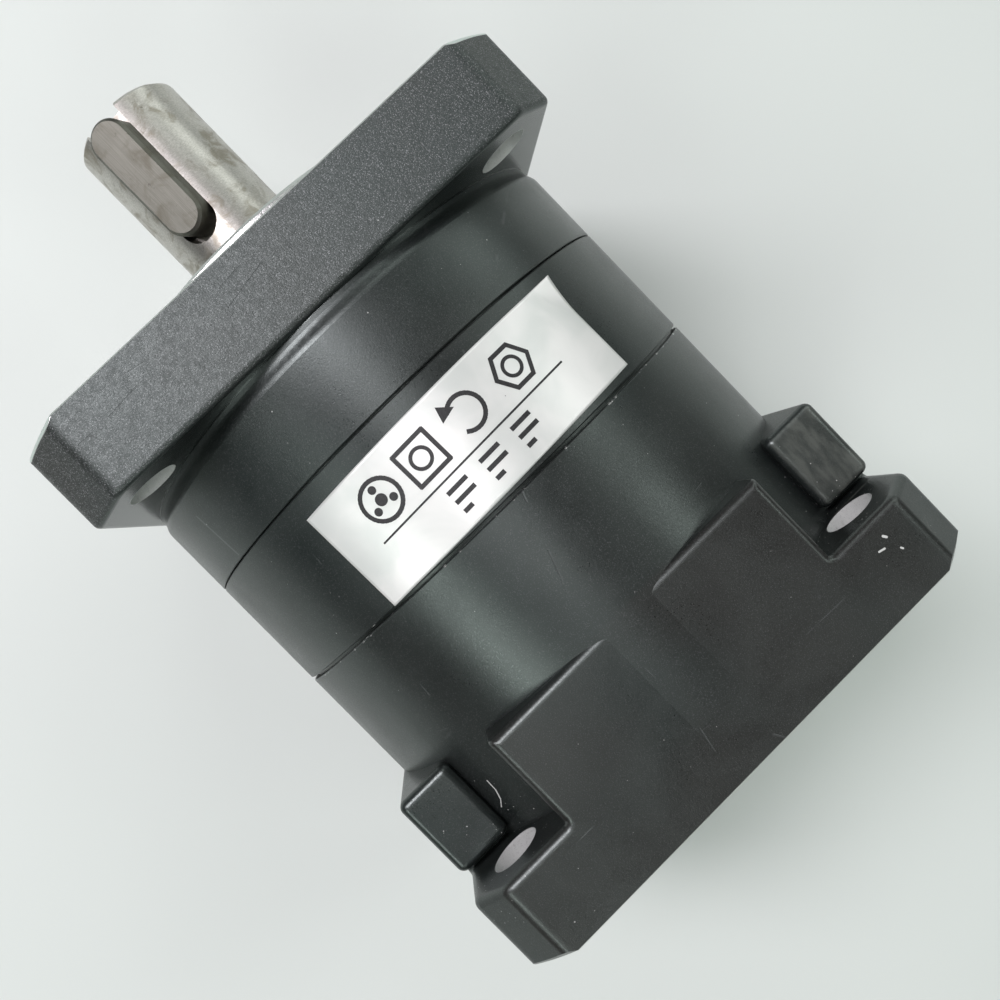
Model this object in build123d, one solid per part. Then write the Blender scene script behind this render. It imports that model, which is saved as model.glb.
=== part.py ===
from build123d import *
import math
import os

os.makedirs("parts", exist_ok=True)

# Planetary gearbox, one stage, 5:1. Millimetres, +Z up.
# The gear axis is the X axis. The output shaft points to +X and x = 0 is the
# machined output mounting face. The gearbox lies on one flat side.

# ---- outside of the housings ----
output_flange_width = 60.0
output_flange_clip = 4.6
output_flange_round = 2.0
output_flange_back = -9.5
output_flange_bevel = 0.2
corner_cone_radius = 38.65
corner_cone_slope = 0.95
corner_cone_length = 22.0
edge_bevel = 0.35
body_radius = 29.85
neck_dip_radius = 29.45
neck_dip_start = -10.0
neck_dip_end = -11.5
pilot_radius = 25.0
pilot_front = 2.3

ring_front = -19.9
ring_back = -34.4
seam_chamfer = 0.12
seam_depth = 0.8
front_seam_width = 0.15
back_seam_width = 0.35

input_flange_width = 59.4
input_flange_clip = 3.8
input_flange_round = 1.6
input_flange_front = -59.4
input_face = -68.4
pad_front = -48.9
pad_half_width = 17.6
pad_corner_round = 0.3
input_edge_round = 0.9
input_face_bevel = 0.12
rib_back = -58.6
rib_inner = 23.1
rib_foot = 8.0
rib_top = 20.5

# ---- mounting holes ----
hole_spacing = 47.14
hole_radius = 2.75
input_pilot_radius = 19.07
input_pilot_depth = 2.2

# ---- fits ----
seat_gap = 0.01
running_gap = 0.03

# ---- housing screws ----
screw_circle = 26.5
screw_turns = [30, 150, 210, 330]
screw_radius = 2.0
screw_hole_radius = 2.2
tapped_hole_radius = 2.01
screw_head_radius = 3.5
screw_head_length = 4.0
screw_head_seat = -63.8
screw_tip = -12.8
counterbore_radius = 3.7
hex_socket_radius = 1.7

# ---- gears ----
gear_module = 0.6
pressure_angle = math.radians(20)
sun_teeth = 18
planet_teeth = 27
ring_teeth = 72
planet_count = 3
tooth_thinning = 0.06
planet_orbit = gear_module * (sun_teeth + planet_teeth) / 2
gear_front = -24.0
planet_back = -32.3
sun_back = -33.4

# ---- shaft, key and carrier ----
key_turn = 20.0
shaft_radius = 7.0
shaft_tip = 28.2
shaft_chamfer = 0.5
key_width = 5.0
key_inner_end = 10.9
key_outer_end = 26.9
key_bottom = 4.0
key_top = 9.0
keyway_end = 9.8
key_bevel = 0.35
carrier_radius = 20.5
carrier_front = -19.9
carrier_back = -23.4
end_plate_front = -32.9
end_plate_back = -35.9
post_circle = 16.0
post_radius = 3.5
pin_radius = 2.5
planet_bore = 3.6

# ---- bearings: bore, outside diameter, width, number of balls ----
output_bearing = (15.0, 28.0, 7.0, 11)
output_bearing_front = -4.2
carrier_bearing = (20.0, 32.0, 7.0, 13)
carrier_bearing_front = -12.4
input_bearing = (20.0, 32.0, 7.0, 13)
input_bearing_front = -37.5

# ---- input hub and clamp ----
hub_back = -62.0
motor_bore_radius = 4.0
motor_bore_front = -41.0
collar_front = -50.5
collar_back = -60.5
collar_radius = 15.5
collar_screw_height = 12.9
collar_screw_x = -55.5
access_radius = 3.5

# ---- label ----
label_thickness = 0.13
label_skew = 1.5
label_width = 11.7
label_length = 32.8
label_x = -27.72
label_y = -1.4


def turned(points):
    """Solid of revolution about the X axis from (x, radius) points."""
    outline = Polyline(*points, close=True)
    return revolve(make_face(outline), axis=Axis.X)


def rod(x_front, x_back, radius, y=0.0, z=0.0):
    """Round bar along X."""
    middle = (x_front + x_back) / 2
    length = x_front - x_back
    return Pos(middle, y, z) * Cylinder(radius, length, rotation=(0, 90, 0))


def tube(x_front, x_back, outer, inner):
    """Ring along X with a plain bore."""
    return rod(x_front, x_back, outer) - rod(x_front + 1, x_back - 1, inner)


def block(x_front, x_back, y_low, y_high, z_low, z_high):
    """Rectangular block from its limits."""
    centre = ((x_front + x_back) / 2, (y_low + y_high) / 2, (z_low + z_high) / 2)
    return Pos(*centre) * Box(x_front - x_back, y_high - y_low, z_high - z_low)


def around(shape, turns):
    """Copies of a shape turned about the X axis."""
    return [Rot(turn, 0, 0) * shape for turn in turns]


def hex_socket(x_mouth, depth, radius, y=0.0, z=0.0):
    """Six-sided key socket opening towards -X."""
    socket = extrude(RegularPolygon(radius, 6), depth)
    return Pos(x_mouth, y, z) * Rot(0, 90, 0) * socket


def gear_frame(x_front):
    """Plane across the axis, its first direction up and its normal along +X."""
    return Plane(origin=(x_front, 0, 0), x_dir=(0, 0, 1), z_dir=(1, 0, 0))


# ---- gears ----

def polar(radius, angle):
    return (radius * math.cos(angle), radius * math.sin(angle))


def involute(angle):
    return math.tan(angle) - angle


def toothed_face(teeth, root_radius, tip_radius, extra_thickness):
    """Involute profile with one tooth centred on the first direction."""
    pitch_radius = gear_module * teeth / 2
    base_radius = pitch_radius * math.cos(pressure_angle)
    half_tooth = (math.pi * gear_module / 2 + extra_thickness) / (2 * pitch_radius)

    def half_angle(radius):
        if radius <= base_radius:
            return half_tooth + involute(pressure_angle)
        local_pressure = math.acos(base_radius / radius)
        return half_tooth + involute(pressure_angle) - involute(local_pressure)

    flank_start = max(root_radius, base_radius)
    flank_steps = 5
    step = (tip_radius - flank_start) / flank_steps
    flank_radii = [flank_start + step * index for index in range(flank_steps + 1)]
    pitch_angle = 2 * math.pi / teeth
    edges = []
    for tooth in range(teeth):
        middle = tooth * pitch_angle
        rising = [polar(radius, middle - half_angle(radius)) for radius in flank_radii]
        falling = [polar(radius, middle + half_angle(radius)) for radius in reversed(flank_radii)]
        if root_radius < base_radius:
            foot_angle = half_angle(base_radius)
            foot_in = polar(root_radius, middle - foot_angle)
            foot_out = polar(root_radius, middle + foot_angle)
            edges.append(Line(foot_in, rising[0]))
        else:
            foot_in = rising[0]
            foot_out = falling[-1]
        edges.append(Spline(*rising))
        edges.append(ThreePointArc(rising[-1], polar(tip_radius, middle), falling[0]))
        edges.append(Spline(*falling))
        if root_radius < base_radius:
            edges.append(Line(falling[-1], foot_out))
        next_foot_angle = middle + pitch_angle - half_angle(flank_start)
        gap_middle = polar(root_radius, middle + pitch_angle / 2)
        edges.append(ThreePointArc(foot_out, gap_middle, polar(root_radius, next_foot_angle)))
    return make_face(Wire(edges))


def gear_solid(x_front, x_back, teeth, root_radius, tip_radius, extra_thickness):
    face = toothed_face(teeth, root_radius, tip_radius, extra_thickness)
    return gear_frame(x_back) * extrude(face, x_front - x_back)


def outside_gear(x_front, x_back, teeth):
    pitch_radius = gear_module * teeth / 2
    root_radius = pitch_radius - 1.25 * gear_module
    tip_radius = pitch_radius + gear_module
    return gear_solid(x_front, x_back, teeth, root_radius, tip_radius, -tooth_thinning)


def ring_gear_spaces(x_front, x_back):
    """The spaces between the inside teeth, as one cutter."""
    pitch_radius = gear_module * ring_teeth / 2
    tip_radius = pitch_radius - gear_module
    root_radius = pitch_radius + 1.25 * gear_module
    cutter = gear_solid(x_front, x_back, ring_teeth, tip_radius, root_radius, tooth_thinning)
    return Rot(-key_turn, 0, 0) * cutter


# ---- housings ----

def flange_block(x_front, x_back, width, clip, corner_round):
    """Square flange with clipped and softened corners."""
    half = width / 2
    flange = block(x_front, x_back, -half, half, -half, half)
    flange = chamfer(flange.edges().filter_by(Axis.X), clip)
    return fillet(flange.edges().filter_by(Axis.X), corner_round)


def corner_holes(x_front, x_back):
    half = hole_spacing / 2
    places = [(half, half), (half, -half), (-half, half), (-half, -half)]
    return [rod(x_front, x_back, hole_radius, y, z) for y, z in places]


def screw_holes(x_front, x_back, radius):
    return around(rod(x_front, x_back, radius, 0, screw_circle), screw_turns)


def corner_cone(face, direction):
    """Turned cone that trims a flange's corners, opening from the face in the given direction."""
    far = face + corner_cone_length * direction
    return turned([
        (face, 0),
        (face, corner_cone_radius),
        (far, corner_cone_radius + corner_cone_length * corner_cone_slope),
        (far, 0),
    ])


def neck_solid():
    """Round neck whose surface dips gently beside the flange."""
    rise = Spline(
        (neck_dip_end, body_radius),
        (neck_dip_start, neck_dip_radius),
        tangents=[(1, 0), (1, 0)],
    )
    front = Polyline((neck_dip_start, neck_dip_radius), (-5, neck_dip_radius), (-5, 0), (ring_front, 0))
    back = Polyline(
        (ring_front, 0),
        (ring_front, body_radius - seam_chamfer),
        (ring_front + seam_chamfer, body_radius),
        (neck_dip_end, body_radius),
    )
    return revolve(make_face(front + back + rise), axis=Axis.X)


def make_output_housing():
    """Output flange, neck and pilot, bored for the seal and two bearings."""
    flange = flange_block(0, output_flange_back, output_flange_width, output_flange_clip, output_flange_round)
    flange = chamfer(flange.faces().sort_by(Axis.X)[-1].edges(), output_flange_bevel)
    flange = fillet(flange.faces().sort_by(Axis.X)[0].edges(), 0.7)
    flange &= corner_cone(0, -1)
    pilot = turned([
        (-1, 0),
        (-1, pilot_radius),
        (pilot_front - edge_bevel, pilot_radius),
        (pilot_front, pilot_radius - edge_bevel),
        (pilot_front, 0),
    ])
    housing = flange + neck_solid() + pilot
    bore = turned([
        (3, 0),
        (3, 13.0 + seat_gap),
        (-3.0, 13.0 + seat_gap),
        (-3.0, 11.0),
        (output_bearing_front, 11.0),
        (output_bearing_front, 14.0 + seat_gap),
        (-12.2, 14.0 + seat_gap),
        (-12.2, 16.0 + seat_gap),
        (-17.9, 16.0 + seat_gap),
        (-17.9, 23.92),
        (-21, 23.92),
        (-21, 0),
    ])
    housing -= bore
    housing -= corner_holes(1, -15)
    housing -= screw_holes(-12.0, -21, tapped_hole_radius)
    return housing


def make_ring_gear_housing():
    """Plain outer sleeve whose inside carries the fixed ring teeth."""
    groove_floor = body_radius - seam_depth
    front_edge = ring_front - front_seam_width
    back_edge = ring_back + back_seam_width
    sleeve = turned([
        (-18.1, 0),
        (-18.1, 23.88),
        (ring_front, 23.88),
        (ring_front, groove_floor),
        (front_edge, groove_floor),
        (front_edge, body_radius - seam_chamfer),
        (front_edge - seam_chamfer, body_radius),
        (back_edge + seam_chamfer, body_radius),
        (back_edge, body_radius - seam_chamfer),
        (back_edge, groove_floor),
        (ring_back, groove_floor),
        (ring_back, 0),
    ])
    sleeve -= ring_gear_spaces(-17, ring_back - 1)
    sleeve -= rod(-32.5, ring_back - 1, 23.92)
    sleeve -= screw_holes(-17, ring_back - 1, screw_hole_radius)
    return sleeve


def side_pad():
    """Raised flat pad on the upper side, running back into the input flange."""
    top = input_flange_width / 2
    pad = block(pad_front, -62, -pad_half_width, pad_half_width, 15, top)
    upright = [edge for edge in pad.edges().filter_by(Axis.Z) if edge.center().X > pad_front - 1]
    return fillet(upright, pad_corner_round)


def padded_flange():
    """Motor flange with its four side pads and one soft edge round them all."""
    top = input_flange_width / 2
    flange = flange_block(input_flange_front, input_face, input_flange_width, input_flange_clip, input_flange_round)
    solid = flange + around(side_pad(), [0, 90, 180, 270])
    inner_corners = []
    for edge in solid.edges().filter_by(Axis.Z) + solid.edges().filter_by(Axis.Y):
        place = edge.center()
        reach = sorted([abs(place.Y), abs(place.Z)])
        if abs(place.X - input_flange_front) < 0.01 and abs(reach[0] - pad_half_width) < 0.01 and edge.length > 5:
            inner_corners.append(edge)
    solid = fillet(inner_corners, pad_corner_round)
    rim = []
    for edge in solid.edges():
        place = edge.center()
        reach = max(abs(place.Y), abs(place.Z))
        on_side = abs(reach - top) < 0.02
        on_clip = abs(place.X - input_flange_front) < 0.01 and math.hypot(place.Y, place.Z) > top + 5
        if place.X > input_flange_front - 0.01 and (on_side or on_clip):
            rim.append(edge)
    solid = fillet(rim, input_edge_round)
    solid = chamfer(solid.faces().sort_by(Axis.X)[0].edges(), input_face_bevel)
    return solid & corner_cone(input_face, 1)


def corner_rib():
    """Shoulder that carries a side pad's flat face up to a mounting hole."""
    rib = block(pad_front, rib_back, rib_inner, input_flange_width / 2, rib_foot, rib_top)
    soft = [edge for edge in rib.edges() if edge.center().Z > rib_foot + 1]
    return fillet(soft, input_edge_round)


def make_input_housing():
    """Input body with four side pads, corner ribs and the motor flange."""
    core = turned([
        (-32.6, 0),
        (-32.6, 23.88),
        (ring_back, 23.88),
        (ring_back, body_radius - seam_chamfer),
        (ring_back - seam_chamfer, body_radius),
        (-62, body_radius),
        (-62, 0),
    ])
    rib = corner_rib()
    ribs = [rib, mirror(rib, Plane.XZ), mirror(rib, Plane.XY), Rot(180, 0, 0) * rib]
    housing = core + padded_flange() + ribs
    bore = turned([
        (-30, 0),
        (-30, 21.2),
        (-36.4, 21.2),
        (-36.4, 14.2),
        (input_bearing_front, 14.2),
        (input_bearing_front, 16.0 + seat_gap),
        (-44.55, 16.0 + seat_gap),
        (-44.55, 16.8),
        (-45.85, 16.8),
        (-45.85, 16.0 + seat_gap),
        (-46.6, 16.0 + seat_gap),
        (-47.6, 17.5),
        (input_face + input_pilot_depth, 17.5),
        (input_face + input_pilot_depth, input_pilot_radius),
        (-70, input_pilot_radius),
        (-70, 0),
    ])
    housing -= bore
    housing -= corner_holes(-57.5, -70)
    housing -= screw_holes(-30, -70, screw_hole_radius)
    housing -= screw_holes(screw_head_seat, -70, counterbore_radius)
    access = Pos(collar_screw_x, -21, collar_screw_height)
    housing -= access * Cylinder(access_radius + seat_gap, 20, rotation=(90, 0, 0))
    return housing


def make_housing_screw():
    """Socket head screw, head at the motor side."""
    head_back = screw_head_seat - screw_head_length
    screw = turned([
        (screw_tip, 0),
        (screw_tip, screw_radius - 0.4),
        (screw_tip - 0.4, screw_radius),
        (screw_head_seat, screw_radius),
        (screw_head_seat, screw_head_radius),
        (head_back + 0.4, screw_head_radius),
        (head_back, screw_head_radius - 0.4),
        (head_back, 0),
    ])
    screw -= hex_socket(head_back - 0.1, 2.3, hex_socket_radius)
    return Pos(0, 0, screw_circle) * screw


def make_access_plug():
    """Push-in plug closing the way to the clamp screw."""
    plug = Cylinder(access_radius, 5.5, rotation=(90, 0, 0))
    recess = Pos(0, -2.75, 0) * Cylinder(access_radius - 1.1, 3, rotation=(90, 0, 0))
    return Pos(collar_screw_x, -26.75, collar_screw_height) * (plug - recess)


def make_label_plate():
    """Thin rectangular plate bent onto the ring gear sleeve."""
    shell = tube(ring_front, ring_back, body_radius + label_thickness, body_radius)
    sheet = block(label_width / 2, -label_width / 2, -label_length / 2, label_length / 2, 0, 40)
    return shell & (Pos(label_x, label_y, 0) * Rot(0, 0, label_skew) * sheet)


# ---- bearings ----

def bearing_ball_radius(bearing):
    bore, outside, width, balls = bearing
    return 0.15 * (outside - bore)


def bearing_pitch_radius(bearing):
    bore, outside, width, balls = bearing
    return (bore + outside) / 4


def bearing_races(bearing, x_front):
    """Outer and inner race with matching ball grooves."""
    bore, outside, width, balls = bearing
    middle = x_front - width / 2
    pitch_radius = bearing_pitch_radius(bearing)
    ball_radius = bearing_ball_radius(bearing)
    groove = Pos(middle, 0, 0) * Torus(pitch_radius, ball_radius + running_gap, rotation=(0, 90, 0))
    land = 0.5 * ball_radius
    outer = tube(x_front, x_front - width, outside / 2, pitch_radius + land) - groove
    inner = tube(x_front, x_front - width, pitch_radius - land, bore / 2) - groove
    return outer, inner


def bearing_balls(bearing, x_front):
    bore, outside, width, balls = bearing
    ball = Pos(x_front - width / 2, 0, bearing_pitch_radius(bearing)) * Sphere(bearing_ball_radius(bearing))
    return around(ball, [360 / balls * index for index in range(balls)])


def bearing_cage(bearing, x_front):
    """Ring between the races with one round window per ball."""
    bore, outside, width, balls = bearing
    middle = x_front - width / 2
    pitch_radius = bearing_pitch_radius(bearing)
    ball_radius = bearing_ball_radius(bearing)
    half_wall = 0.5 * ball_radius - 0.2
    half_width = ball_radius + 0.7
    cage = tube(middle + half_width, middle - half_width, pitch_radius + half_wall, pitch_radius - half_wall)
    window = Pos(middle, 0, pitch_radius) * Cylinder(ball_radius + 0.06, 4 * half_wall)
    return cage - around(window, [360 / balls * index for index in range(balls)])


# ---- output shaft group, built with the key straight up ----

def make_output_shaft():
    """Output shaft, front carrier disc and three posts in one piece."""
    seat = 0.5 * output_bearing[0] - seat_gap
    big_seat = 0.5 * carrier_bearing[0] - seat_gap
    shaft = turned([
        (shaft_tip, 0),
        (shaft_tip, shaft_radius - shaft_chamfer),
        (shaft_tip - shaft_chamfer, shaft_radius),
        (-2.9, shaft_radius),
        (-3.2, seat),
        (-3.2, seat - 0.5),
        (output_bearing_front, seat - 0.5),
        (output_bearing_front, seat),
        (carrier_bearing_front, seat),
        (carrier_bearing_front, big_seat),
        (-19.4, big_seat),
        (-19.4, 11.5),
        (carrier_front, 11.5),
        (carrier_front, carrier_radius - 0.4),
        (carrier_front - 0.4, carrier_radius),
        (carrier_back, carrier_radius),
        (carrier_back, 0),
    ])
    post = rod(carrier_back + 1, end_plate_front, post_radius, 0, post_circle)
    shaft += around(post, [60, 180, 300])
    keyway = block(shaft_tip + 1, keyway_end + key_width / 2, -key_width / 2, key_width / 2, key_bottom, 8)
    keyway_round = Pos(keyway_end + key_width / 2, 0, 6) * Cylinder(key_width / 2, 4)
    shaft -= keyway + keyway_round
    shaft -= around(rod(-21, -25, pin_radius + seat_gap, 0, planet_orbit), [0, 120, 240])
    shaft -= around(rod(-26, -34, 1.26, 0, post_circle), [60, 180, 300])
    centre_drill = turned([(shaft_tip + 0.1, 0), (shaft_tip + 0.1, 1.7), (shaft_tip - 2.4, 0.5), (shaft_tip - 4, 0)])
    return shaft - centre_drill


def make_shaft_key():
    """Parallel key with two round ends and bevelled top edges."""
    end_radius = key_width / 2 - seat_gap
    length = key_outer_end - key_inner_end
    slot = SlotOverall(length, 2 * end_radius)
    key = extrude(slot, key_top - key_bottom)
    key = chamfer(key.faces().sort_by(Axis.Z)[-1].edges(), key_bevel)
    return Pos((key_outer_end + key_inner_end) / 2, 0, key_bottom) * key


def make_end_plate():
    """Rear carrier plate closing the planet cage."""
    plate = turned([
        (end_plate_front, 0),
        (end_plate_front, carrier_radius),
        (end_plate_back + 0.4, carrier_radius),
        (end_plate_back, carrier_radius - 0.4),
        (end_plate_back, 0),
    ])
    plate -= rod(-30, -40, 7.0)
    plate -= around(rod(-30, -40, pin_radius + seat_gap, 0, planet_orbit), [0, 120, 240])
    plate -= around(rod(-30, -40, 1.6, 0, post_circle), [60, 180, 300])
    plate -= around(rod(-34.2, -40, 2.9, 0, post_circle), [60, 180, 300])
    return plate


def carrier_screw():
    """Short socket screw holding the end plate to a post."""
    screw = rod(-27, -34.2, 1.25) + rod(-34.2, -35.8, 2.75)
    screw -= hex_socket(-35.9, 1.2, 1.2)
    return Pos(0, 0, post_circle) * screw


def thrust_washer(x_front):
    washer = tube(x_front, x_front - 0.5, 6.0, pin_radius + 0.03)
    return Pos(0, 0, planet_orbit) * washer


def make_planet_gear():
    gear = outside_gear(gear_front, planet_back, planet_teeth)
    return gear - rod(-20, -40, planet_bore + seat_gap)


def make_sun_hub():
    """Sun gear and input hub in one piece, its back end split for the clamp."""
    hub_seat = 0.5 * input_bearing[0] - seat_gap
    hub = turned([
        (sun_back + 0.4, 0),
        (sun_back + 0.4, 4.4),
        (sun_back - 0.6, 5.8),
        (-36.7, 5.8),
        (-36.7, 11.5),
        (input_bearing_front, 11.5),
        (input_bearing_front, hub_seat),
        (-44.55, hub_seat),
        (-44.55, hub_seat - 0.7),
        (-45.85, hub_seat - 0.7),
        (-45.85, hub_seat),
        (hub_back + 0.5, hub_seat),
        (hub_back, hub_seat - 0.5),
        (hub_back, 0),
    ])
    hub += outside_gear(gear_front, sun_back, sun_teeth)
    hub -= rod(motor_bore_front, hub_back - 1, motor_bore_radius)
    slit = block(-49.5, hub_back - 1, -0.6, 0.6, -12, 12)
    return hub - [slit, Rot(90, 0, 0) * slit]


def snap_ring(x_front, x_back, inner, outer, gap_width):
    """Retaining ring with its mouth downwards."""
    mouth = block(x_front + 1, x_back - 1, -gap_width / 2, gap_width / 2, -20, 0)
    return tube(x_front, x_back, outer, inner) - mouth


def make_clamp_collar():
    """Split collar that squeezes the hub onto the motor shaft."""
    hub_radius = 0.5 * input_bearing[0] + seat_gap
    collar = turned([
        (collar_front, hub_radius),
        (collar_front, collar_radius - 0.5),
        (collar_front - 0.5, collar_radius),
        (collar_back + 0.5, collar_radius),
        (collar_back, collar_radius - 0.5),
        (collar_back, hub_radius),
    ])
    collar -= block(-45, -65, -0.8, 0.8, 5, 20)
    screw_place = Pos(collar_screw_x, 0, collar_screw_height)
    collar -= screw_place * Pos(0, 0, 0) * Cylinder(1.56, 40, rotation=(90, 0, 0))
    collar -= screw_place * Pos(0, -13.6, 0) * Cylinder(2.95, 20, rotation=(90, 0, 0))
    return collar


def make_clamp_screw():
    screw = Pos(0, 1.5, 0) * Cylinder(1.5, 10.2, rotation=(90, 0, 0))
    screw += Pos(0, -5.1, 0) * Cylinder(2.75, 3.0, rotation=(90, 0, 0))
    socket = Pos(0, -6.7, 0) * Rot(-90, 0, 0) * extrude(RegularPolygon(1.4, 6), 1.8)
    return Pos(collar_screw_x, 0, collar_screw_height) * (screw - socket)


def make_output_seal():
    """Rubber lip seal pressed into the pilot, lip towards the shaft."""
    return turned([
        (1.9, 7.9),
        (1.9, 12.6),
        (1.5, 13.0),
        (-2.9, 13.0),
        (-2.9, 11.8),
        (0.6, 11.8),
        (0.6, 9.0),
        (-1.6, 8.2),
        (-1.9, shaft_radius + 0.4),
        (-1.1, shaft_radius + running_gap),
        (-0.7, shaft_radius + running_gap),
        (0.7, shaft_radius + 0.35),
        (1.2, shaft_radius + running_gap),
    ])


# ---- everything in place ----

def with_shaft(shape):
    """Turn a piece of the shaft group to the rest angle of the key."""
    return Rot(-key_turn, 0, 0) * shape


def group(shapes):
    return Compound(children=[Solid(shape.solid().wrapped) for shape in shapes])


parts = {}
parts["output_housing"] = make_output_housing()
parts["ring_gear_housing"] = make_ring_gear_housing()
parts["input_housing"] = make_input_housing()
parts["label_plate"] = make_label_plate()
parts["housing_screws"] = group(around(make_housing_screw(), screw_turns))
parts["access_plug"] = make_access_plug()
parts["output_seal"] = make_output_seal()

bearings = {
    "output_bearing": (output_bearing, output_bearing_front),
    "carrier_bearing": (carrier_bearing, carrier_bearing_front),
    "input_bearing": (input_bearing, input_bearing_front),
}
for name, (bearing, x_front) in bearings.items():
    outer, inner = bearing_races(bearing, x_front)
    parts[name + "_outer_race"] = outer
    parts[name + "_inner_race"] = inner
    parts[name + "_balls"] = group(bearing_balls(bearing, x_front))
    parts[name + "_cage"] = bearing_cage(bearing, x_front)

parts["bearing_spacer"] = tube(-11.2, carrier_bearing_front, 9.2, 7.5)
parts["shaft_snap_ring"] = with_shaft(snap_ring(-3.22, -4.18, 7.0, 9.3, 5.0))
parts["output_shaft"] = with_shaft(make_output_shaft())
parts["shaft_key"] = with_shaft(make_shaft_key())
parts["carrier_end_plate"] = with_shaft(make_end_plate())
parts["carrier_screws"] = group(around(with_shaft(carrier_screw()), [60, 180, 300]))

planet_turns = [360 / planet_count * index for index in range(planet_count)]
pin = rod(-21, -35.7, pin_radius, 0, planet_orbit)
parts["planet_pins"] = group(around(with_shaft(pin), planet_turns))
washers = [thrust_washer(-23.45), thrust_washer(-32.35)]
parts["thrust_washers"] = group([
    copy for washer in washers for copy in around(with_shaft(washer), planet_turns)
])
planet = Pos(0, 0, planet_orbit) * make_planet_gear()
bushing = Pos(0, 0, planet_orbit) * tube(gear_front - 0.05, planet_back + 0.05, planet_bore, pin_radius + running_gap)
for index, turn in enumerate(planet_turns):
    parts[f"planet_gear_{index + 1}"] = Rot(turn, 0, 0) * with_shaft(planet)
    parts[f"planet_bushing_{index + 1}"] = Rot(turn, 0, 0) * with_shaft(bushing)

parts["sun_hub"] = with_shaft(make_sun_hub())
parts["hub_snap_ring"] = snap_ring(-44.6, -45.8, 9.31, 11.3, 5.0)
parts["bearing_snap_ring"] = snap_ring(-44.6, -45.8, 14.3, 16.6, 8.0)
parts["clamp_collar"] = make_clamp_collar()
parts["clamp_screw"] = make_clamp_screw()

for name, shape in parts.items():
    export_step(shape, os.path.join("parts", name + ".step"))
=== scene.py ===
import bpy
import math
from mathutils import Matrix, Vector


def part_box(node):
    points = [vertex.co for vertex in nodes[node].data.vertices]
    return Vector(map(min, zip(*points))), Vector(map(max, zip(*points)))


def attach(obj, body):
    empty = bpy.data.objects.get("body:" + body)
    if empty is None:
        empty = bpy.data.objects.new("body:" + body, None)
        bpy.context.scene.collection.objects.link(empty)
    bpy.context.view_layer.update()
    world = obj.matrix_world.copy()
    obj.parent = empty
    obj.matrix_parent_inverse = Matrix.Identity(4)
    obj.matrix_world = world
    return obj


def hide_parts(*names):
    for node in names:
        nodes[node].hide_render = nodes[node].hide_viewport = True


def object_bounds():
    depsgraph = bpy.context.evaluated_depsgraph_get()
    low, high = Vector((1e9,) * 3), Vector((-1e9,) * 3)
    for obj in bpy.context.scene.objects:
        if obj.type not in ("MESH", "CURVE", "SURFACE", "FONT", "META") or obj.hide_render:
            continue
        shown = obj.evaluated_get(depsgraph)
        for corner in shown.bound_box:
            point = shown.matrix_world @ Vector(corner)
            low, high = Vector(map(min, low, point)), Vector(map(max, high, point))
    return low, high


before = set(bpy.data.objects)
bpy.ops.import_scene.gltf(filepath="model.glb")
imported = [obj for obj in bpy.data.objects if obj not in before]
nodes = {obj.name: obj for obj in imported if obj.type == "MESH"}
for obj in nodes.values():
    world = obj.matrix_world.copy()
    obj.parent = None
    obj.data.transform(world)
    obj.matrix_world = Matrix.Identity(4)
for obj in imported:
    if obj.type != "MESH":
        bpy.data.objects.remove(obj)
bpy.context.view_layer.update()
scene = bpy.context.scene
MM = 0.001

# ---------------------------------------------------------------- node helpers


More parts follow.
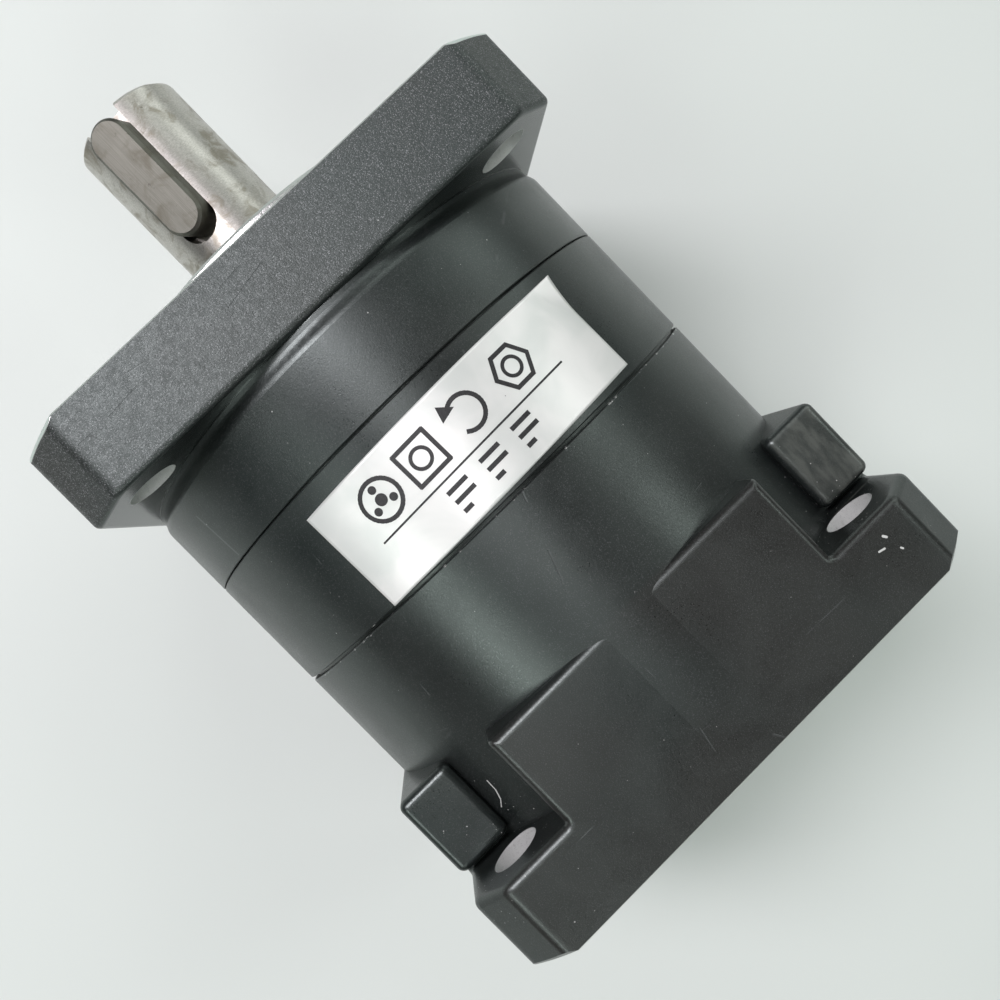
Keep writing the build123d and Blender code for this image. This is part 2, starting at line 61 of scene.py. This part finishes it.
class Graph:
    """A material's node tree, with short calls for the nodes used here."""

    def __init__(self, name):
        self.material = bpy.data.materials.new(name)
        self.material.use_nodes = True
        self.tree = self.material.node_tree
        self.shader = self.tree.nodes["Principled BSDF"]
        coordinates = self.tree.nodes.new("ShaderNodeTexCoord")
        self.place = coordinates.outputs["Object"]
        split = self.tree.nodes.new("ShaderNodeSeparateXYZ")
        self.tree.links.new(self.place, split.inputs[0])
        self.x, self.y, self.z = split.outputs

    def put(self, socket, value):
        if isinstance(value, bpy.types.NodeSocket):
            self.tree.links.new(value, socket)
        elif isinstance(value, tuple) and len(value) == 3 and socket.type == "RGBA":
            socket.default_value = (*value, 1)
        else:
            socket.default_value = value

    def math(self, operation, a, b=0.0, c=0.0):
        node = self.tree.nodes.new("ShaderNodeMath")
        node.operation = operation
        for socket, value in zip(node.inputs, (a, b, c)):
            self.put(socket, value)
        return node.outputs[0]

    def step(self, value, low, high, to_low=0.0, to_high=1.0, smooth=True):
        node = self.tree.nodes.new("ShaderNodeMapRange")
        node.interpolation_type = "SMOOTHSTEP" if smooth else "LINEAR"
        for socket, item in zip(node.inputs, (value, low, high, to_low, to_high)):
            self.put(socket, item)
        return node.outputs[0]

    def either(self, *masks):
        result = masks[0]
        for mask in masks[1:]:
            result = self.math("MAXIMUM", result, mask)
        return result

    def both(self, a, b):
        return self.math("MULTIPLY", a, b)

    def between(self, value, start, full, hold, end):
        """Mask that is 1 from full to hold and fades out at start and end (lengths in mm)."""
        return self.both(self.step(value, start * MM, full * MM), self.step(value, end * MM, hold * MM))

    def stretch(self, scale):
        node = self.tree.nodes.new("ShaderNodeMapping")
        self.tree.links.new(self.place, node.inputs[0])
        node.inputs["Scale"].default_value = scale
        return node.outputs[0]

    def rings(self):
        """Coordinates (x, distance from the gear axis, angle) for marks that run round the axis."""
        radius = self.radius()
        angle = self.math("ARCTAN2", self.y, self.z)
        node = self.tree.nodes.new("ShaderNodeCombineXYZ")
        for socket, value in zip(node.inputs, (self.x, radius, self.math("MULTIPLY", angle, 0.002))):
            self.put(socket, value)
        return node.outputs[0]

    def length(self, a, b):
        return self.math("SQRT", self.math("ADD", self.math("POWER", a, 2.0), self.math("POWER", b, 2.0)))

    def radius(self):
        """Distance from the gear axis."""
        return self.length(self.y, self.z)

    def noise(self, size, detail=2.0, rough=0.5, warp=0.0, where=None):
        node = self.tree.nodes.new("ShaderNodeTexNoise")
        self.tree.links.new(where or self.place, node.inputs["Vector"])
        node.inputs["Scale"].default_value = 1.0 / size
        node.inputs["Detail"].default_value = detail
        node.inputs["Roughness"].default_value = rough
        node.inputs["Distortion"].default_value = warp
        return node.outputs[0]

    def cells(self, size, feature, where):
        node = self.tree.nodes.new("ShaderNodeTexVoronoi")
        node.feature = feature
        self.tree.links.new(where, node.inputs["Vector"])
        node.inputs["Scale"].default_value = 1.0 / size
        return node.outputs["Distance"]

    def specks(self, size, spacing, share):
        """Small round dots: cells this far apart, a share of them holding a dot."""
        node = self.tree.nodes.new("ShaderNodeTexVoronoi")
        self.tree.links.new(self.place, node.inputs["Vector"])
        node.inputs["Scale"].default_value = 1.0 / spacing
        near = self.step(node.outputs["Distance"], size / spacing, 0.6 * size / spacing)
        split = self.tree.nodes.new("ShaderNodeSeparateColor")
        self.tree.links.new(node.outputs["Color"], split.inputs[0])
        chosen = self.math("LESS_THAN", split.outputs[0], share)
        return self.both(near, chosen)

    def mix(self, mask, a, b):
        node = self.tree.nodes.new("ShaderNodeMix")
        node.data_type = "RGBA"
        self.put(node.inputs[0], mask)
        self.put(node.inputs[6], a)
        self.put(node.inputs[7], b)
        return node.outputs[2]

    def blend(self, mask, a, b):
        node = self.tree.nodes.new("ShaderNodeMix")
        self.put(node.inputs[0], mask)
        self.put(node.inputs[2], a)
        self.put(node.inputs[3], b)
        return node.outputs[0]

    def bump(self, height, depth, under=None, strength=1.0):
        node = self.tree.nodes.new("ShaderNodeBump")
        node.inputs["Distance"].default_value = depth
        self.put(node.inputs["Strength"], strength)
        self.tree.links.new(height, node.inputs["Height"])
        if under:
            self.tree.links.new(under, node.inputs["Normal"])
        return node.outputs[0]

    def line_mark(self, start, end, width):
        """Mask of a straight scratch between two points, seen along Z (lengths in mm)."""
        a, b = (Vector(point) * MM for point in (start, end))
        run = b - a
        dx, dy = self.math("SUBTRACT", self.x, a.x), self.math("SUBTRACT", self.y, a.y)
        along = self.math("ADD", self.math("MULTIPLY", dx, run.x), self.math("MULTIPLY", dy, run.y))
        share = self.step(self.math("DIVIDE", along, run.length_squared), 0.0, 1.0, smooth=False)
        off_x = self.math("SUBTRACT", dx, self.math("MULTIPLY", share, run.x))
        off_y = self.math("SUBTRACT", dy, self.math("MULTIPLY", share, run.y))
        away = self.length(off_x, off_y)
        return self.both(self.step(away, width * MM, 0.5 * width * MM), self.step(self.z, 8 * MM, 9 * MM))

    def line_marks(self, runs):
        return self.either(*[self.line_mark(start, end, width) for start, end, width in runs])

    def finish(self, **values):
        for name, value in values.items():
            self.put(self.shader.inputs[name.replace("_", " ")], value)
        return self.material


# ------------------------------------------------------------------- materials

HOLE = 23.57 * MM
CORNER_CONE_RADIUS = 38.65 * MM
CORNER_CONE_SLOPE = -0.95
BARE_METAL_DARK = (0.52, 0.53, 0.52)
BARE_METAL_LIGHT = (0.74, 0.75, 0.73)

# Small marks on the coating: start, end and width of each line, in mm, seen along Z.
CHIP_MARKS = (
    ((-61.45, -22.5), (-61.75, -22.7), 0.16),
    ((-62.25, -21.2), (-62.40, -21.8), 0.13),
    ((-63.45, -23.0), (-63.65, -23.1), 0.12),
    ((-34.15, 18.0), (-34.20, 18.2), 0.22),
)
FIBRE_MARKS = (
    ((-53.2, 21.2), (-54.5, 21.25), 0.07),
    ((-54.5, 21.25), (-55.6, 21.6), 0.08),
    ((-55.6, 21.6), (-56.4, 22.2), 0.06),
)
GOUGE_MARKS = (
    ((-3.5, 17.2), (-3.8, 20.9), 0.09),
    ((-3.8, 24.7), (-3.8, 23.3), 0.11),
    ((-3.8, 23.3), (-4.8, 22.9), 0.08),
    ((-2.2, 5.8), (-2.0, 3.1), 0.08),
    ((-4.0, 6.5), (-3.1, 1.4), 0.06),
)


def black_coating():
    """Satin black coating over cast and turned aluminium, bare where it was machined afterwards."""
    g = Graph("black_coating")
    radius = g.radius()
    across = g.math("SUBTRACT", g.math("ABSOLUTE", g.y), HOLE)
    above = g.math("SUBTRACT", g.math("ABSOLUTE", g.z), HOLE)
    to_hole = g.length(across, above)
    through = g.either(g.step(g.x, -9.6 * MM, -9.45 * MM), g.step(g.x, -59.3 * MM, -59.45 * MM))
    hole_wall = g.both(g.step(to_hole, 2.83 * MM, 2.78 * MM), through)
    cone_radius = g.math("MULTIPLY_ADD", g.x, CORNER_CONE_SLOPE, CORNER_CONE_RADIUS)
    cone = g.math("ABSOLUTE", g.math("SUBTRACT", radius, cone_radius))
    corner = g.both(g.step(cone, 0.07 * MM, 0.04 * MM), g.step(g.x, -1.5 * MM, -1.4 * MM))
    front = g.either(g.step(g.x, -0.19 * MM, -0.16 * MM), corner)
    rear = g.step(g.x, -68.34 * MM, -68.37 * MM)
    bore = g.step(radius, 24.6 * MM, 24.4 * MM)

    wear_noise = g.noise(0.9 * MM, 4, 0.65)
    second_seam = g.between(g.x, -34.62, -34.56, -34.40, -34.38)
    seam_chips = g.both(second_seam, g.step(wear_noise, 0.60, 0.66))
    groove = g.step(radius, 29.70 * MM, 29.62 * MM)
    grooves = g.either(
        g.between(g.x, -20.15, -20.08, -19.88, -19.84),
        g.between(g.x, -34.5, -34.42, -34.03, -33.98),
    )
    bare = g.either(hole_wall, front, rear, bore, seam_chips)

    grain = g.noise(0.16 * MM, 3, 0.6)
    coarse = g.noise(0.55 * MM, 3, 0.55)
    cloud = g.noise(9 * MM, 3, 0.5, 0.4)
    broad = g.noise(26 * MM, 2, 0.5)
    flange = g.step(g.x, -9.45 * MM, -9.1 * MM)
    paint = g.mix(cloud, (0.0055, 0.0088, 0.0083), (0.0095, 0.0125, 0.0120))
    # Brown patches on the flange and on the upper face of the top pad: partly random tone of the coating,
    # partly a painted warm reflection of what is above, which lightens the top pad.
    flat = g.either(flange, g.both(g.step(g.x, -48.0 * MM, -49.5 * MM), g.step(g.z, 29.0 * MM, 29.4 * MM)))
    brown_patches_and_reflection = g.both(g.step(broad, 0.30, 0.62), g.step(flat, 0.0, 1.0, 0.35, 0.85))
    paint = g.mix(brown_patches_and_reflection, paint, (0.0125, 0.0100, 0.0093))
    # Painted glints: light grey specks in the base colour, strongest on the flange, stand in for glints of
    # light off the grainy coating.
    painted_glints = g.both(g.step(g.noise(0.11 * MM, 1, 0.5), 0.57, 0.70), g.blend(flange, 0.22, 1.0))
    paint = g.mix(painted_glints, paint, (0.165, 0.165, 0.172))
    # Painted highlight: lighter streaks on top of the -Y corner rib stand in for the sheen of light on its
    # outer skin.
    painted_sheen_shoulder = g.both(g.step(g.y, -22.8 * MM, -24.0 * MM), g.step(g.x, -49.0 * MM, -49.6 * MM))
    painted_sheen_shoulder = g.both(painted_sheen_shoulder, g.between(g.z, 20.2, 20.4, 20.6, 20.7))
    sheen_streaks = g.step(g.noise(1.6 * MM, 3, 0.6, where=g.stretch((0.35, 1.0, 1.0))), 0.38, 0.62, 0.35, 1.0)
    paint = g.mix(g.both(painted_sheen_shoulder, sheen_streaks), paint, (0.075, 0.080, 0.072))
    pits = g.step(g.noise(0.14 * MM, 1, 0.5, where=g.stretch((1.1, 0.9, 1.3))), 0.36, 0.27)
    paint = g.mix(g.both(pits, g.blend(flange, 0.3, 0.9)), paint, (0.006, 0.006, 0.007))

    hairs = g.cells(14 * MM, "DISTANCE_TO_EDGE", g.stretch((1.0, 0.16, 0.16)))
    hair_part = g.step(g.noise(5 * MM, 2, 0.5), 0.60, 0.70)
    scratch = g.both(g.step(hairs, 0.0045, 0.0015), hair_part)
    cross = g.cells(17 * MM, "DISTANCE_TO_EDGE", g.stretch((0.2, 1.0, 0.6)))
    cross_part = g.step(g.noise(4 * MM, 2, 0.5), 0.60, 0.68)
    scratch = g.either(scratch, g.both(g.step(cross, 0.003, 0.001), cross_part))
    paint = g.mix(g.math("MULTIPLY", scratch, 0.55), paint, (0.055, 0.056, 0.058))

    dust = g.either(g.specks(0.085 * MM, 1.9 * MM, 0.20), g.specks(0.05 * MM, 0.9 * MM, 0.14))
    dust = g.math("MULTIPLY", dust, 0.6)
    near_holes = g.both(g.step(to_hole, 8.0 * MM, 4.0 * MM), g.step(g.x, -50 * MM, -54 * MM))
    crumbs = g.both(g.specks(0.07 * MM, 0.62 * MM, 0.30), near_holes)
    chips = g.either(g.specks(0.22 * MM, 6.0 * MM, 0.045), g.line_marks(CHIP_MARKS))
    fibre = g.line_marks(FIBRE_MARKS)
    paint = g.mix(g.either(dust, crumbs, chips, fibre), paint, (0.55, 0.56, 0.54))
    gouges = g.line_marks(GOUGE_MARKS)
    paint = g.mix(gouges, paint, (0.003, 0.003, 0.003))
    mould_line = g.line_mark((-13.7, 23.65), (-19.5, 23.3), 0.10)
    paint = g.mix(g.math("MULTIPLY", mould_line, 0.5), paint, (0.10, 0.11, 0.105))

    paint = g.mix(g.both(groove, grooves), paint, (0.002, 0.002, 0.002))

    cut = g.noise(0.07 * MM, 2, 0.6, where=g.rings())
    metal = g.mix(cut, BARE_METAL_DARK, BARE_METAL_LIGHT)
    metal = g.mix(g.step(g.noise(0.5 * MM, 3, 0.6), 0.55, 0.8, 0, 0.6), metal, (0.36, 0.36, 0.35))

    base_rough = g.step(cloud, 0.3, 0.7, 0.30, 0.38)
    flange_rough = g.step(coarse, 0.3, 0.7, 0.40, 0.50)
    rough = g.blend(flange, base_rough, flange_rough)
    rough = g.math("ADD", rough, g.step(grain, 0.2, 0.8, -0.05, 0.06))
    flange_back = g.between(g.x, -9.62, -9.56, -9.47, -9.42)
    rough = g.blend(flange_back, rough, 0.20)
    rough = g.blend(bare, rough, g.step(cut, 0.2, 0.8, 0.26, 0.40))

    skin = g.bump(coarse, 0.016 * MM, strength=g.blend(flange, 0.25, 0.8))
    skin = g.bump(grain, 0.030 * MM, skin, strength=g.blend(flange, 0.35, 1.0))
    skin = g.bump(g.either(scratch, gouges), -0.010 * MM, skin)
    g.shader.inputs["Specular Tint"].default_value = (0.89, 1.0, 0.96, 1)
    color = g.mix(bare, paint, metal)
    shine = g.math("SUBTRACT", bare, g.math("MULTIPLY", hole_wall, 0.7))
    return g.finish(Base_Color=color, Metallic=shine, Roughness=rough, Normal=skin, Specular_IOR_Level=0.9)


def ground_steel(name, dark, light, stain, rough, along, stain_amount):
    """Machined steel: fine tool marks, cloudy stains and darker handling spots."""
    g = Graph(name)
    marks_place = g.stretch((0.02, 1, 1)) if along else g.rings()
    marks = g.noise(0.10 * MM, 3, 0.7, where=marks_place)
    wide_marks = g.noise(0.8 * MM, 2, 0.5, where=marks_place)
    cloud = g.noise(2.6 * MM, 5, 0.62, 0.8)
    spots = g.step(g.noise(0.9 * MM, 4, 0.7, 0.5), 0.62, 0.75)
    color = g.mix(g.step(marks, 0.3, 0.7), dark, light)
    color = g.mix(g.step(wide_marks, 0.3, 0.7, 0.0, 0.22), color, dark)
    color = g.mix(g.step(cloud, 0.46, 0.68, 0.0, stain_amount), color, stain)
    color = g.mix(g.math("MULTIPLY", spots, stain_amount), color, tuple(0.45 * part for part in stain))
    tool_finish = g.step(marks, 0.2, 0.8, rough - 0.05, rough + 0.07)
    finish = g.math("ADD", tool_finish, g.step(cloud, 0.4, 0.7, 0.0, 0.10))
    skin = g.bump(marks, 0.002 * MM)
    skin = g.bump(g.noise(0.25 * MM, 3, 0.6), 0.003 * MM, skin)
    return g.finish(Base_Color=color, Metallic=1.0, Roughness=finish, Normal=skin)


def rubber(name, color, rough):
    g = Graph(name)
    fine = g.noise(0.2 * MM, 4, 0.65)
    bloom = g.step(g.noise(2.2 * MM, 4, 0.6), 0.45, 0.75, 0.0, 0.5)
    shade = g.mix(bloom, color, tuple(min(1.0, 2.4 * part + 0.01) for part in color))
    skin = g.bump(fine, 0.012 * MM)
    finish = g.step(fine, 0.2, 0.8, rough - 0.06, rough + 0.08)
    return g.finish(Base_Color=shade, Roughness=finish, Normal=skin)


def bronze(name):
    g = Graph(name)
    grain = g.noise(0.3 * MM, 4, 0.65)
    cloud = g.noise(2.0 * MM, 4, 0.6, 0.5)
    color = g.mix(grain, (0.52, 0.33, 0.12), (0.70, 0.48, 0.21))
    color = g.mix(g.step(cloud, 0.5, 0.75, 0.0, 0.5), color, (0.30, 0.17, 0.07))
    pores = g.specks(0.06 * MM, 0.3 * MM, 0.5)
    color = g.mix(pores, color, (0.12, 0.08, 0.04))
    skin = g.bump(pores, -0.01 * MM)
    finish = g.step(cloud, 0.3, 0.7, 0.30, 0.42)
    return g.finish(Base_Color=color, Metallic=1.0, Roughness=finish, Normal=skin)


def label_film():
    """Matt silver film: cool white with faint unevenness and a few specks."""
    g = Graph("label_film")
    cloud = g.noise(6 * MM, 3, 0.5, 0.5)
    weave = g.noise(0.12 * MM, 2, 0.6)
    color = g.mix(g.step(cloud, 0.3, 0.7), (0.70, 0.73, 0.70), (0.84, 0.845, 0.82))
    color = g.mix(g.specks(0.07 * MM, 1.7 * MM, 0.15), color, (0.30, 0.30, 0.28))
    skin = g.bump(g.noise(2.5 * MM, 3, 0.5), 0.020 * MM)
    skin = g.bump(weave, 0.0015 * MM, skin)
    finish = g.step(weave, 0.2, 0.8, 0.33, 0.42)
    return g.finish(Base_Color=color, Metallic=0.35, Roughness=finish, Normal=skin)


def print_ink():
    g = Graph("print_ink")
    blot = g.noise(0.25 * MM, 4, 0.7)
    color = g.mix(g.step(blot, 0.35, 0.7), (0.012, 0.012, 0.013), (0.030, 0.030, 0.031))
    finish = g.step(blot, 0.2, 0.8, 0.42, 0.56)
    return g.finish(Base_Color=color, Roughness=finish, Normal=g.bump(blot, 0.003 * MM))


def table_top():
    g = Graph("table_top")
    cloud = g.noise(90 * MM, 2, 0.5)
    color = g.mix(cloud, (0.655, 0.705, 0.668), (0.695, 0.735, 0.705))
    faint = g.specks(0.5 * MM, 26 * MM, 0.10)
    color = g.mix(g.math("MULTIPLY", faint, 0.25), color, (0.55, 0.53, 0.42))
    return g.finish(Base_Color=color, Roughness=0.55, Normal=g.bump(g.noise(1.5 * MM, 3, 0.6), 0.01 * MM))


coat = black_coating()
# Name: dark and light tone, stain, roughness, tool marks along the axis, amount of stain.
STEELS = {
    "shaft_steel": ((0.42, 0.41, 0.375), (0.66, 0.64, 0.60), (0.25, 0.225, 0.17), 0.36, False, 0.7),
    "key_steel": ((0.135, 0.135, 0.115), (0.19, 0.19, 0.165), (0.11, 0.10, 0.075), 0.42, True, 0.5),
    "carrier_steel": ((0.42, 0.42, 0.41), (0.58, 0.58, 0.57), (0.30, 0.28, 0.24), 0.30, False, 0.25),
    "gear_steel": ((0.34, 0.34, 0.34), (0.48, 0.48, 0.47), (0.22, 0.20, 0.17), 0.32, True, 0.3),
    "hub_steel": ((0.38, 0.38, 0.37), (0.56, 0.56, 0.55), (0.27, 0.25, 0.21), 0.28, False, 0.2),
    "race_steel": ((0.58, 0.58, 0.57), (0.72, 0.72, 0.71), (0.45, 0.43, 0.40), 0.18, False, 0.15),
    "ball_steel": ((0.70, 0.70, 0.70), (0.80, 0.80, 0.80), (0.60, 0.59, 0.57), 0.10, False, 0.1),
    "cage_steel": ((0.42, 0.40, 0.36), (0.56, 0.54, 0.50), (0.30, 0.27, 0.22), 0.34, False, 0.3),
    "pin_steel": ((0.56, 0.56, 0.55), (0.70, 0.70, 0.69), (0.42, 0.40, 0.36), 0.20, False, 0.15),
    "black_oxide": ((0.035, 0.035, 0.038), (0.065, 0.065, 0.070), (0.05, 0.04, 0.032), 0.38, False, 0.4),
    "collar_steel": ((0.12, 0.12, 0.125), (0.20, 0.20, 0.21), (0.10, 0.09, 0.075), 0.36, False, 0.3),
}
steel = {name: ground_steel(name, *look) for name, look in STEELS.items()}
seal_rubber = rubber("seal_rubber", (0.030, 0.027, 0.025), 0.55)
plug_rubber = rubber("plug_rubber", (0.016, 0.016, 0.016), 0.62)
bronze_metal = bronze("bronze_metal")

finishes = {
    "output_housing": coat,
    "ring_gear_housing": coat,
    "input_housing": coat,
    "housing_screws": steel["black_oxide"],
    "access_plug": plug_rubber,
    "output_seal": seal_rubber,
    "bearing_spacer": steel["race_steel"],
    "shaft_snap_ring": steel["black_oxide"],
    "hub_snap_ring": steel["black_oxide"],
    "bearing_snap_ring": steel["black_oxide"],
    "output_shaft": steel["shaft_steel"],
    "shaft_key": steel["key_steel"],
    "carrier_end_plate": steel["carrier_steel"],
    "carrier_screws": steel["black_oxide"],
    "planet_pins": steel["pin_steel"],
    "thrust_washers": bronze_metal,
    "sun_hub": steel["hub_steel"],
    "clamp_collar": steel["collar_steel"],
    "clamp_screw": steel["black_oxide"],
}
for place in ("output_bearing", "carrier_bearing", "input_bearing"):
    finishes[place + "_outer_race"] = steel["race_steel"]
    finishes[place + "_inner_race"] = steel["race_steel"]
    finishes[place + "_balls"] = steel["ball_steel"]
    finishes[place + "_cage"] = steel["cage_steel"]
for number in (1, 2, 3):
    finishes[f"planet_gear_{number}"] = steel["gear_steel"]
    finishes[f"planet_bushing_{number}"] = bronze_metal
for name, material in finishes.items():
    for slot in nodes[name].material_slots:
        slot.material = material

# ----------------------------------------------------------------------- label

sleeve_low, sleeve_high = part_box("ring_gear_housing")
SLEEVE = sleeve_high[2]
LABEL_X = -27.72 * MM
LABEL_TURN = math.radians(-2.7)
LABEL_SKEW = math.radians(1.5)
LABEL_LONG = 34.6 * MM
LABEL_WIDE = 11.7 * MM
LABEL_THICK = 0.10 * MM
INK_LIFT = 0.02 * MM
INK_STEP = 0.4
CURL_REACH = 3.6 * MM
CURL_HEIGHT = 0.8 * MM


def on_sleeve(along, across, height):
    """Point of the label: along runs round the sleeve towards +Y, across runs towards +X."""
    turned_along = along * math.cos(LABEL_SKEW) + across * math.sin(LABEL_SKEW)
    turned_across = across * math.cos(LABEL_SKEW) - along * math.sin(LABEL_SKEW)
    angle = LABEL_TURN + turned_along / SLEEVE
    radius = SLEEVE + height
    return Vector((LABEL_X + turned_across, radius * math.sin(angle), radius * math.cos(angle)))


def curl(along, across):
    """Height of the lifted front corner."""
    from_end = (along + LABEL_LONG / 2) + 0.8 * (LABEL_WIDE / 2 - across)
    inside = max(0.0, 1.0 - from_end / CURL_REACH)
    return CURL_HEIGHT * inside ** 1.6


def make_label():
    columns = 120
    rows = 40
    vertices = []
    for height in (LABEL_THICK, 0.01 * MM):
        for row in range(rows + 1):
            for column in range(columns + 1):
                along = (column / columns - 0.5) * LABEL_LONG
                across = (row / rows - 0.5) * LABEL_WIDE
                vertices.append(on_sleeve(along, across, height + curl(along, across)))
    width = columns + 1
    layer = width * (rows + 1)
    faces = []
    for row in range(rows):
        for column in range(columns):
            corner = row * width + column
            top = (corner, corner + width, corner + width + 1, corner + 1)
            faces.append(top)
            faces.append(tuple(layer + index for index in reversed(top)))
    rim = list(range(columns))
    rim += [row * width + columns for row in range(rows)]
    rim += [rows * width + column for column in range(columns, 0, -1)]
    rim += [row * width for row in range(rows, 0, -1)]
    for index, first in enumerate(rim):
        second = rim[(index + 1) % len(rim)]
        faces.append((first, second, second + layer, first + layer))
    mesh = bpy.data.meshes.new("label_sheet")
    mesh.from_pydata(vertices, [], faces)
    mesh.materials.append(label_film())
    for polygon in mesh.polygons:
        polygon.use_smooth = len(polygon.vertices) == 4 and polygon.area > 1e-9
    mesh.update()
    sheet = bpy.data.objects.new("label_sheet", mesh)
    scene.collection.objects.link(sheet)
    return sheet


def stroke(points, width, closed=False):
    """Flat band along a run of points, as short quads that can follow the sleeve."""
    quads = []
    count = len(points)
    pairs = range(count if closed else count - 1)
    for index in pairs:
        start = Vector(points[index])
        end = Vector(points[(index + 1) % count])
        run = (end - start).normalized() * width / 2
        side = Vector((-run.y, run.x))
        start, end = start - run * 0.6, end + run * 0.6
        pieces = max(1, math.ceil((end - start).length / INK_STEP))
        cuts = [start.lerp(end, piece / pieces) for piece in range(pieces + 1)]
        for near, far in zip(cuts, cuts[1:]):
            quads.append([near + side, near - side, far - side, far + side])
    return quads


def circle(centre, radius, steps=32, start=0.0, sweep=360.0):
    points = []
    for index in range(steps + (sweep < 360.0)):
        angle = math.radians(start + sweep * index / steps)
        points.append((centre[0] + radius * math.cos(angle), centre[1] + radius * math.sin(angle)))
    return points


def disc(centre, radius):
    rim = [Vector(point) for point in circle(centre, radius)]
    return [[Vector(centre), first, second] for first, second in zip(rim, rim[1:] + rim[:1])]


def label_marks():
    """Plain pictograms and rules, in millimetres on the label: gear train, flange, turning arrow, bolt."""
    row = 2.0
    thick, thin = 0.44, 0.36
    shapes = stroke(circle((10.3, row), 2.05), thick, True)
    shapes += disc((10.3, row), 0.62)
    for turn in (90, 210, 330):
        angle = math.radians(turn)
        shapes += disc((10.3 + 1.22 * math.cos(angle), row + 1.22 * math.sin(angle)), 0.42)
    shapes += stroke([(3.0, row - 1.9), (6.8, row - 1.9), (6.8, row + 1.9), (3.0, row + 1.9)], thick, True)
    shapes += stroke(circle((4.9, row), 1.0), thin, True)
    shapes += stroke(circle((-1.0, row), 1.8, 24, 40, 270), thick)
    shapes += [[Vector((1.25, row + 0.75)), Vector((-0.55, row + 1.15)), Vector((0.75, row + 2.35))]]
    shapes += stroke(circle((-7.3, row), 2.15, 6), thick, True)
    shapes += stroke(circle((-7.3, row), 0.95), thin, True)
    shapes += stroke([(13.2, -1.0), (-11.4, -1.0)], 0.20)
    for middle in (4.4, 0.2, -4.0):
        for across, end in ((-2.1, -1.1), (-3.2, -1.1), (-4.3, 0.3)):
            shapes += stroke([(middle + 1.1, across), (middle + end, across)], 0.46)
    return shapes


def make_print():
    vertices = []
    faces = []
    for shape in label_marks():
        first = len(vertices)
        for point in shape:
            along = point.x * MM
            across = point.y * MM
            vertices.append(on_sleeve(along, across, LABEL_THICK + INK_LIFT + curl(along, across)))
        faces.append(tuple(range(first, len(vertices))))
    mesh = bpy.data.meshes.new("label_print")
    mesh.from_pydata(vertices, [], faces)
    mesh.materials.append(print_ink())
    mesh.update()
    marks = bpy.data.objects.new("label_print", mesh)
    scene.collection.objects.link(marks)
    return marks


label = make_label()
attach(label, "housing")
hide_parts("label_plate")
marks = make_print()
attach(marks, "housing")

# ----------------------------------------------------------- floor, light, view

low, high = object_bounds()


def plane(name, size, place, material):
    half = size / 2
    mesh = bpy.data.meshes.new(name)
    corners = [(-half, -half, 0), (half, -half, 0), (half, half, 0), (-half, half, 0)]
    mesh.from_pydata(corners, [], [(0, 1, 2, 3)])
    mesh.materials.append(material)
    item = bpy.data.objects.new(name, mesh)
    item.location = place
    scene.collection.objects.link(item)


FLOOR_SIZE = 3.0
FLOOR_GAP = 0.05 * MM
plane("floor", FLOOR_SIZE, (0, 0, low[2] - FLOOR_GAP), table_top())


LIGHT_TARGET = Vector((-0.03, 0.0, 0.0))
COOL_WHITE = (0.95, 1.0, 0.97)


def soft_light(name, place, width, height, power, color=COOL_WHITE, turn=0):
    """Rectangular lamp aimed at the middle of the gearbox, turned about its own beam in degrees."""
    data = bpy.data.lights.new(name, "AREA")
    data.shape = "RECTANGLE"
    data.size = width
    data.size_y = height
    data.energy = power
    data.color = color
    item = bpy.data.objects.new(name, data)
    item.location = place
    aimed = (LIGHT_TARGET - Vector(place)).to_track_quat("-Z", "Y").to_matrix()
    item.rotation_euler = (aimed @ Matrix.Rotation(math.radians(turn), 3, "Z")).to_euler()
    scene.collection.objects.link(item)


soft_light("window", (0.30, 0.16, 0.60), 0.18, 0.40, 3.9, (1.0, 0.94, 1.0), 28)
soft_light("over_left", (-0.57, 0.24, 0.60), 0.24, 0.24, 0.9)
soft_light("left", (-0.18, 0.57, 0.60), 0.40, 0.22, 1.3)
soft_light("right", (-0.14, -0.60, 0.56), 0.30, 0.20, 0.62)
soft_light("back_right", (-0.52, -0.30, 0.55), 0.30, 0.30, 0.5)
soft_light("overhead", (-0.06, 0.05, 0.60), 0.11, 0.13, 0.24, (1.0, 1.0, 1.0))
soft_light("front_right", (0.54, -0.45, 0.60), 0.28, 0.28, 0.7)
soft_light("low_right", (0.26, -0.69, 0.30), 0.50, 0.30, 0.9)

ROOM_LIGHT = 0.06
world = bpy.data.worlds.new("room")
scene.world = world
world.use_nodes = True
backdrop = world.node_tree.nodes["Background"]
backdrop.inputs[0].default_value = (*COOL_WHITE, 1)
backdrop.inputs[1].default_value = ROOM_LIGHT

CAMERA_LENS = 35.88
CAMERA_PLACE = Vector((-30.16, 6.28, 121.3)) * MM
CAMERA_AIM = Vector((-34.78, -0.64, 0.0)) * MM
CAMERA_TURN = math.radians(-44.39)

camera_data = bpy.data.cameras.new("camera")
camera_data.lens = CAMERA_LENS
camera_data.sensor_width = 36.0
camera_data.clip_start = 5 * MM
camera = bpy.data.objects.new("camera", camera_data)
scene.collection.objects.link(camera)
scene.camera = camera
back = (CAMERA_PLACE - CAMERA_AIM).normalized()
top = Vector((math.cos(CAMERA_TURN), math.sin(CAMERA_TURN), 0.0))
right = top.cross(back).normalized()
top = back.cross(right)
axes = Matrix((right, top, back)).transposed().to_4x4()
camera.matrix_world = Matrix.Translation(CAMERA_PLACE) @ axes

scene.view_settings.view_transform = "Standard"
scene.view_settings.look = "None"
